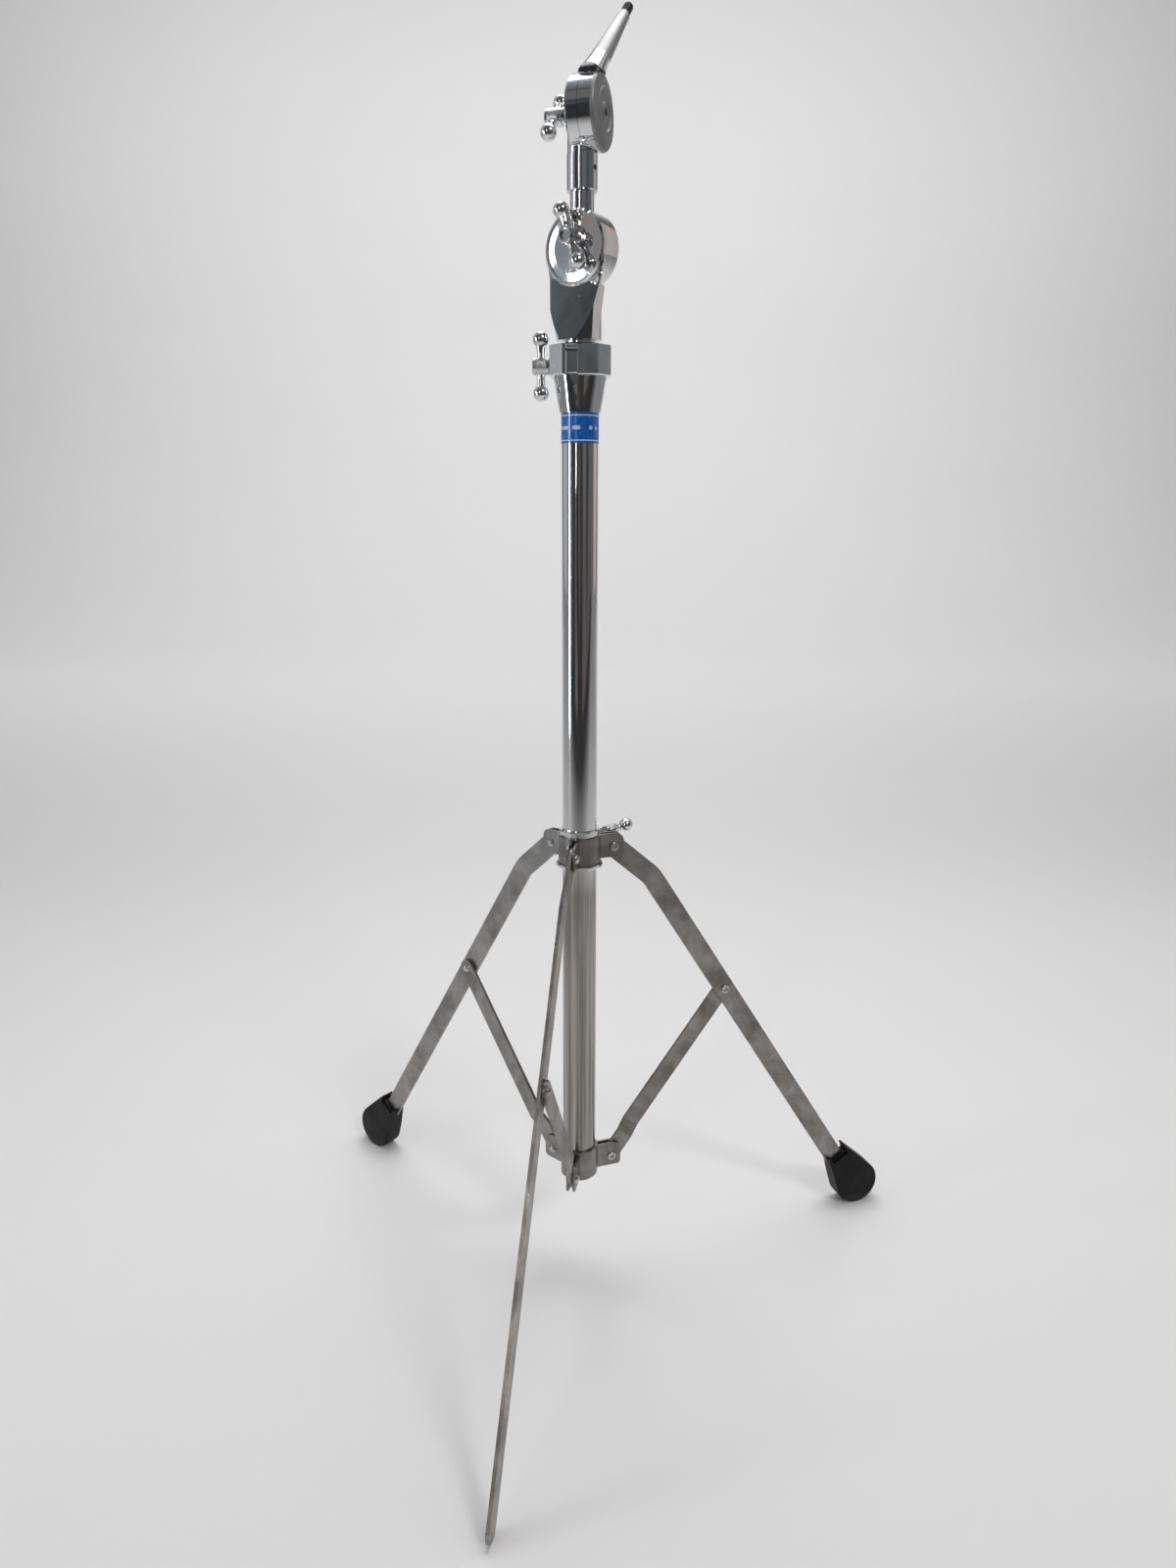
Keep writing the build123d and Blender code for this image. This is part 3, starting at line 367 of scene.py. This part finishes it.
def finish_nodes():
    """Every CAD node's material."""
    label_low, label_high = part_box("label_band")
    polished = chrome("chrome plate")
    cast = chrome("chrome plate on castings", cast=True)
    paint(CHROME_NODES, polished)
    paint(CAST_NODES, cast)
    paint(SATIN_NODES, chrome("satin chrome plate", satin=0.42, bright=0.36))
    # The upright is darker low down: partly wear, partly painted shade
    paint(["base_tube"], chrome("chrome plate on the upright", wear_and_shade_below=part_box("leg_collar_sleeve")[0][2]))
    paint(BRACKET_NODES, nickel("nickel bracket", 0.30, 0.14, 0.04))
    paint(LEG_NODES, nickel("nickel bar", 0.33, 0.15, 0.045))
    paint(RIVET_NODES, turned_metal("rivet zinc", grey(0.52, 0.01), grey(0.14, 0.12)))
    paint(SCREW_NODES, turned_metal("screw steel", grey(0.16), grey(0.05, 0.1)))
    for name, seat in BARREL_SEATS.items():
        knurl(name, seat, polished)
    thread(turned_metal("blackened thread", grey(0.10), grey(0.03, 0.1)))
    paint(FOOT_NODES, rubber("moulded rubber"))
    paint(["label_band"], film("blue film", label_low[2], label_high[2]))
    paint(NYLON_NODES, plastic("nylon", grey(0.02), grey(0.045)))
    paint(BRASS_NODES, turned_metal("brass", (0.72, 0.48, 0.16, 1.0), (0.3, 0.17, 0.05, 1.0)))


# --- detail pieces ------------------------------------------------------------


def joint(name):
    """The record's entry for a joint."""
    return next(entry for entry in frame["joints"] if entry["name"] == name)


def add_mesh(name, points, faces, material, body):
    """A detail piece that moves with a CAD body."""
    mesh = bpy.data.meshes.new(name)
    mesh.from_pydata(points, [], faces)
    mesh.validate()
    mesh.update()
    mesh.polygons.foreach_set("use_smooth", [True] * len(mesh.polygons))
    mesh.materials.append(material)
    made = bpy.data.objects.new(name, mesh)
    bpy.context.scene.collection.objects.link(made)
    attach(made, body)
    return made


def axes_along(direction):
    """Two unit vectors square to a direction."""
    direction = direction.normalized()
    side = direction.cross(Vector((0, 0, 1)))
    if side.length < 0.01:
        side = Vector((1, 0, 0))
    side.normalize()
    return side, direction.cross(side).normalized()


def ring_surface(origin, direction, rows):
    """Points and faces of a surface round an axis; each row is (distance along, [radius at each step])."""
    side, up = axes_along(direction)
    steps = len(rows[0][1])
    points = []
    for along, radii in rows:
        for step, radius in enumerate(radii):
            turn = 2 * math.pi * step / steps
            outward = side * math.cos(turn) + up * math.sin(turn)
            points.append(origin + direction * along + outward * radius)
    faces = []
    for row in range(len(rows) - 1):
        for step in range(steps):
            after = (step + 1) % steps
            near = row * steps
            far = near + steps
            faces.append((near + step, near + after, far + after, far + step))
    return points, faces


def knurl(name, seat, material):
    """A ring of raised diamonds round a wing bolt's barrel, faded out at both ends."""
    entry = joint(f"{name}_bolt_turn")
    steps = KNURL_PITCHES * KNURL_CUTS
    rows = []
    for row in range(KNURL_ROWS + 1):
        share = row / KNURL_ROWS
        fade = min(1.0, KNURL_FADE * min(share, 1.0 - share))
        radii = []
        for step in range(steps):
            turn = step / KNURL_CUTS
            up = abs((turn + share * KNURL_SLANT) % 1.0 - 0.5) * 2
            down = abs((turn - share * KNURL_SLANT) % 1.0 - 0.5) * 2
            radii.append(BARREL_R + KNURL_DEPTH * (min(up, down) * fade - KNURL_SINK))
        along = seat + BARREL_CHAMFER + (BARREL_LENGTH - 2 * BARREL_CHAMFER) * share
        rows.append((along, radii))
    points, faces = ring_surface(Vector(entry["pos_m"]), Vector(entry["axis"]), rows)
    add_mesh(f"knurl_{name}", points, faces, material, f"{name}_wing_bolt")


def thread(material):
    """The stem's threaded end: one helical groove with rounded roots, closed by a chamfered tip."""
    mount = next(entry for entry in frame["record"]["mounts"] if entry["name"] == "cymbal_stem_thread")
    length = mount["dims"]["length_mm"] * MM
    outer = mount["dims"]["r_mm"] * MM
    count = round(length / THREAD_PITCH * THREAD_ROWS_PER_PITCH)
    rows = [(0.0, [outer - THREAD_DEPTH] * THREAD_STEPS)]
    for row in range(count + 1):
        along = length * row / count
        taper = max(0.0, along - (length - THREAD_PITCH)) / THREAD_PITCH
        radii = []
        for step in range(THREAD_STEPS):
            phase = (along / THREAD_PITCH - step / THREAD_STEPS) % 1.0
            groove = 0.5 + 0.5 * math.cos(2 * math.pi * phase)
            radii.append(outer - THREAD_DEPTH * max(groove, taper))
        rows.append((along, radii))
    rows.append((length, [THREAD_TIP_R] * THREAD_STEPS))
    points, faces = ring_surface(Vector(mount["pos_m"]), Vector(mount["axis"]), rows)
    made = add_mesh("thread", points, faces, material, "cymbal_arm")
    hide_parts("stem_thread")


# --- set ----------------------------------------------------------------------


def add_area(name, place, target, size, power, colour, spread):
    """A soft rectangular light aimed at a point; spread is the angle of its grid, in degrees."""
    lamp = bpy.data.lights.new(name, "AREA")
    lamp.shape = "RECTANGLE"
    lamp.size, lamp.size_y = size
    lamp.energy = power
    lamp.color = colour
    lamp.spread = math.radians(spread)
    made = bpy.data.objects.new(name, lamp)
    made.location = place
    made.rotation_euler = (Vector(target) - Vector(place)).to_track_quat("-Z", "Y").to_euler()
    bpy.context.scene.collection.objects.link(made)


def add_floor():
    """A pale floor that curves up into a backdrop. Its front is dark, for what the chrome mirrors."""
    profile = [(FLOOR_FRONT, 0.0), (FLOOR_BACK, 0.0)]
    for step in range(1, FLOOR_BEND_STEPS + 1):
        turn = math.pi / 2 * step / FLOOR_BEND_STEPS
        y = FLOOR_BACK + FLOOR_BEND * math.sin(turn)
        z = FLOOR_BEND - FLOOR_BEND * math.cos(turn)
        profile.append((y, z))
    profile.append((FLOOR_BACK + FLOOR_BEND, FLOOR_TOP))
    points = [(side, y, z) for y, z in profile for side in (-FLOOR_HALF_WIDTH, FLOOR_HALF_WIDTH)]
    faces = [(2 * i, 2 * i + 1, 2 * i + 3, 2 * i + 2) for i in range(len(profile) - 1)]
    mesh = bpy.data.meshes.new("floor")
    mesh.from_pydata(points, [], faces)
    mesh.polygons.foreach_set("use_smooth", [True] * len(mesh.polygons))
    s = Shader("pale floor")
    cloud = s.noise((1.5, 1.5, 1.5), detail=3.0)
    pale = s.mix(cloud, grey(0.86), grey(0.83))
    darkening = s.remap(s.axes()[1], FLOOR_DARK_Y, FLOOR_PALE_Y, 1.0, 0.0)
    s.set(Base_Color=s.mix(darkening, pale, grey(0.07)), Roughness=0.85)
    mesh.materials.append(s.material)
    floor = bpy.data.objects.new("floor", mesh)
    bpy.context.scene.collection.objects.link(floor)
    return floor


def add_room():
    """The room that the chrome mirrors: patchy and dim in front, brighter behind and overhead, one window."""
    world = bpy.data.worlds.new("room")
    world.use_nodes = True
    room = Graph(world.node_tree, "Generated")
    x, y, z = room.axes()
    across = room.math("SUBTRACT", y, room.math("MULTIPLY", x, 0.08))
    behind = room.remap(across, -0.2, 0.12, 0.0, 0.52)
    window = room.remap(room.facing(WINDOW_DIRECTION), 0.955, 0.985, 0.0, 0.3)
    overhead = room.remap(z, 0.7, 0.95, 0.0, 0.3)
    patches = room.remap(room.noise((3.0, 3.0, 2.0), detail=3.0), 0.45, 0.62, 0.04, 0.17)
    walls = room.math("MAXIMUM", behind, overhead)
    strength = room.math("MAXIMUM", walls, room.math("MAXIMUM", patches, window))
    drift = room.remap(room.noise((2.2, 2.2, 2.2), detail=1.0), 0.4, 0.6, 0.0, 1.0)
    tint = room.mix(drift, WARM_WALL, COOL_WALL)
    background = world.node_tree.nodes["Background"]
    room.link(tint, background.inputs["Color"])
    room.link(strength, background.inputs["Strength"])
    bpy.context.scene.world = world


def light_set():
    """Floor, room and lights: the chrome mirrors a dim front between two strips on the left."""
    add_floor()
    add_room()
    for light in LIGHTS:
        add_area(*light)


def add_camera():
    """The camera at the eye point that shows the stand from the front."""
    lens = bpy.data.cameras.new("camera")
    lens.lens = CAMERA_LENS
    lens.sensor_width = CAMERA_SENSOR
    camera = bpy.data.objects.new("camera", lens)
    turn = Matrix.Rotation(math.radians(CAMERA_TURN), 4, "Z")
    tilt = Matrix.Rotation(math.radians(CAMERA_TILT), 4, "X")
    roll = Matrix.Rotation(math.radians(CAMERA_ROLL), 4, "Z")
    camera.matrix_world = Matrix.Translation(CAMERA_PLACE) @ turn @ tilt @ roll
    bpy.context.scene.collection.objects.link(camera)
    bpy.context.scene.camera = camera


finish_nodes()
light_set()
add_camera()
bpy.context.scene.view_settings.view_transform = "Standard"
